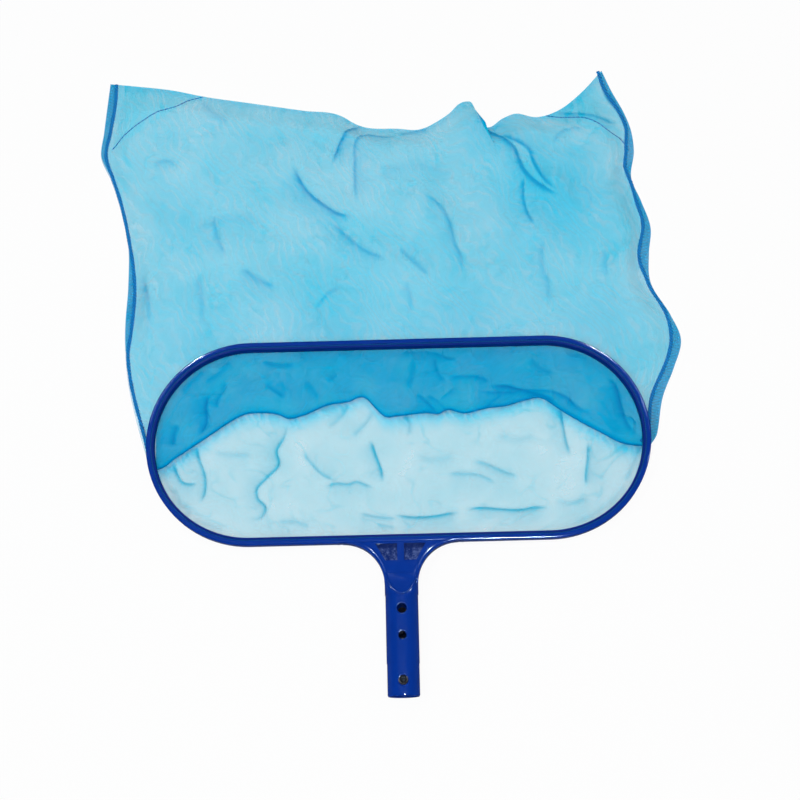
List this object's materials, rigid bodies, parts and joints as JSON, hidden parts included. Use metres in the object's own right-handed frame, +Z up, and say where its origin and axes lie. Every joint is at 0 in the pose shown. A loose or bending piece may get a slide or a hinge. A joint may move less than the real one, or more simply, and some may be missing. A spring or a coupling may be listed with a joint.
{
  "type": "leaf skimmer net head",
  "caption": "Pool leaf skimmer head: oval moulded frame with a deep fine-mesh bag and a hollow stem with a spring clip that locks it into a pole.",
  "frame": {"origin": "on the stem's axis at the shoulder where a pole's end stops", "axes": "+Y along the stem's axis from the open end towards the bag, +Z up out of the mouth, +X across the mouth"},
  "size_m": [0.5327, 0.5853, 0.0344],
  "materials": {
    "frame_plastic": "glossy royal blue moulding",
    "ring_plastic": "glossy royal blue moulding, a shade darker",
    "hem_tape": "woven polyester tape",
    "net_mesh": "fine see-through polyester mesh",
    "seam_thread": "overlocked polyester thread",
    "spring_steel": "stainless spring strip",
    "button_plastic": "black nylon, lightly polished by use"
  },
  "bodies": {
    "head": {"frame": "frame_plastic", "retaining_ring": "ring_plastic", "mouth_hem": "hem_tape", "net_lower_panel": "net_mesh", "net_upper_panel": "net_mesh", "side_seam_left": "seam_thread", "side_seam_right": "seam_thread", "corner_stitch_left": "seam_thread", "corner_stitch_right": "seam_thread", "clip_bend": "spring_steel"},
    "clip_upper": {"clip_upper_leg": "spring_steel", "clip_upper_button": "button_plastic"},
    "clip_lower": {"clip_lower_leg": "spring_steel", "clip_lower_button": "button_plastic"}
  },
  "joints": [
    {"name": "clip_upper_press", "type": "hinge", "parent": "head", "child": "clip_upper", "pos_m": [0, -0.028, 0], "axis": [1, 0, 0], "range_deg": [0, 4.5], "stiffness_Nm_per_rad": 4, "springref_deg": -2.86},
    {"name": "clip_lower_press", "type": "hinge", "parent": "head", "child": "clip_lower", "pos_m": [0, -0.028, 0], "axis": [-1, 0, 0], "range_deg": [0, 4.5], "stiffness_Nm_per_rad": 4, "springref_deg": -2.86}
  ]
}
